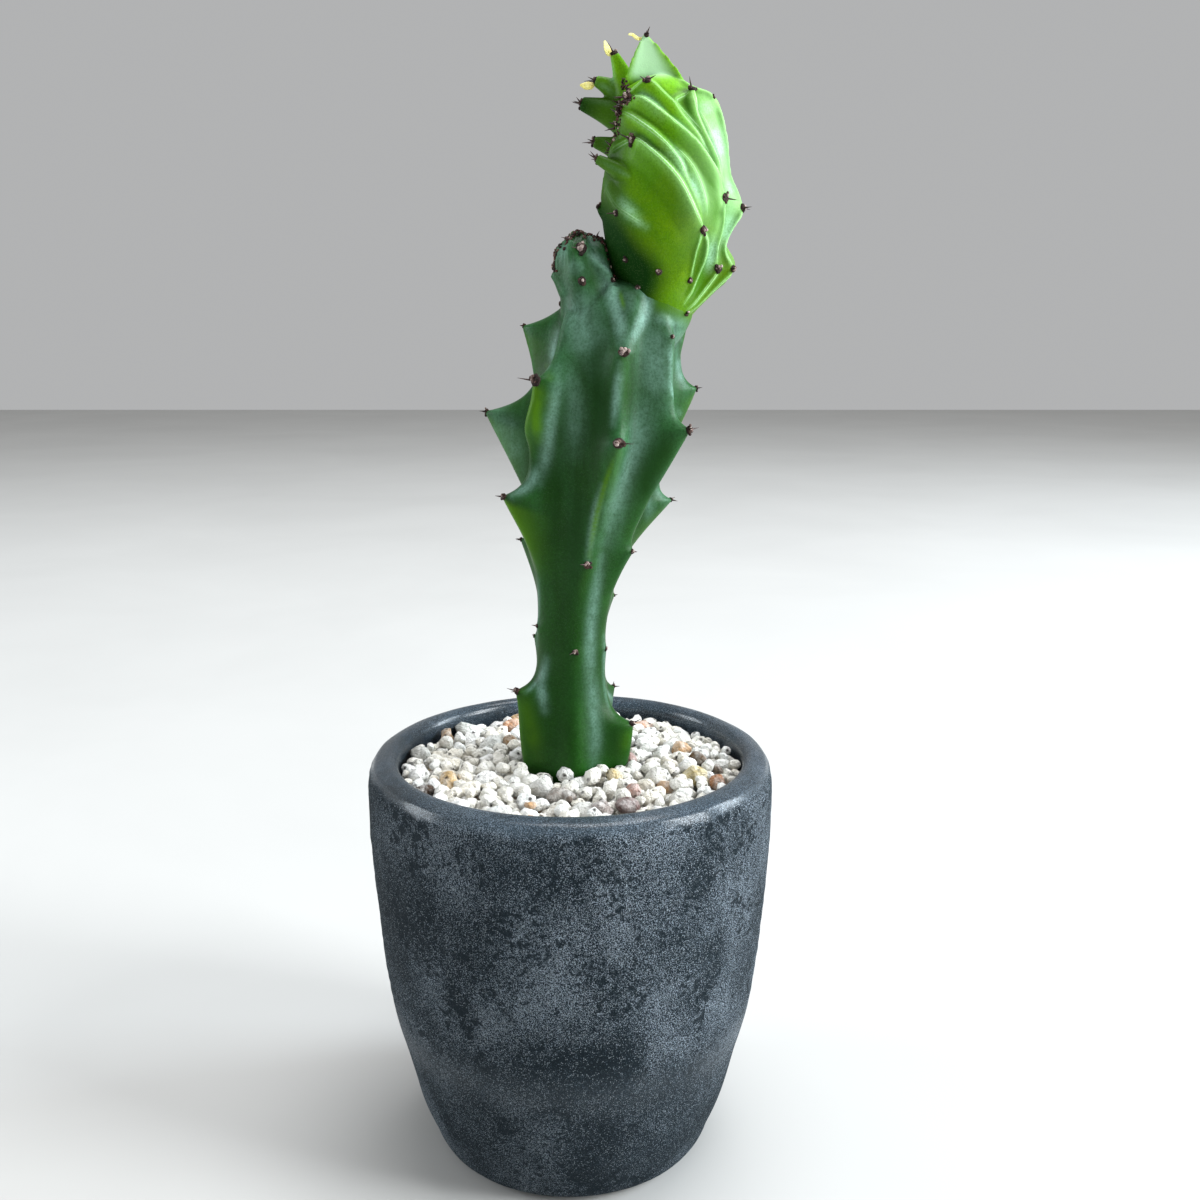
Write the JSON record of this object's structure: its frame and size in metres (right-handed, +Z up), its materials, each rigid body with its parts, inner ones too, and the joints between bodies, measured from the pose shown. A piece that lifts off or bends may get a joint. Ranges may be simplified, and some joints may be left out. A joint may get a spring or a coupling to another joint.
{
  "type": "potted coral cactus",
  "caption": "Crested succulent with a dark green ribbed stem and a lime green folded crest, standing in pumice grit in a round cement pot with a rounded lip.",
  "frame": {"origin": "centre of the pot's foot, on the surface that it stands on", "axes": "+Z up, +X to the side that the stem leans to, -Y to the front"},
  "size_m": [0.121, 0.121, 0.3256],
  "materials": {
    "cement": "rough sandy blue-black cement with lighter veils",
    "net": "plain black net",
    "soil": "crumbly brown soil",
    "pumice": "porous off-white stone grains, a few tan and brown",
    "dark_skin": "waxy satin, dark green",
    "lime_skin": "waxy satin gloss, lime green"
  },
  "bodies": {
    "root": {"pot": "cement", "drain_screen": "net", "potting_soil": "soil", "pumice_grit": "pumice", "stem": "dark_skin", "crest": "lime_skin"}
  },
  "joints": []
}
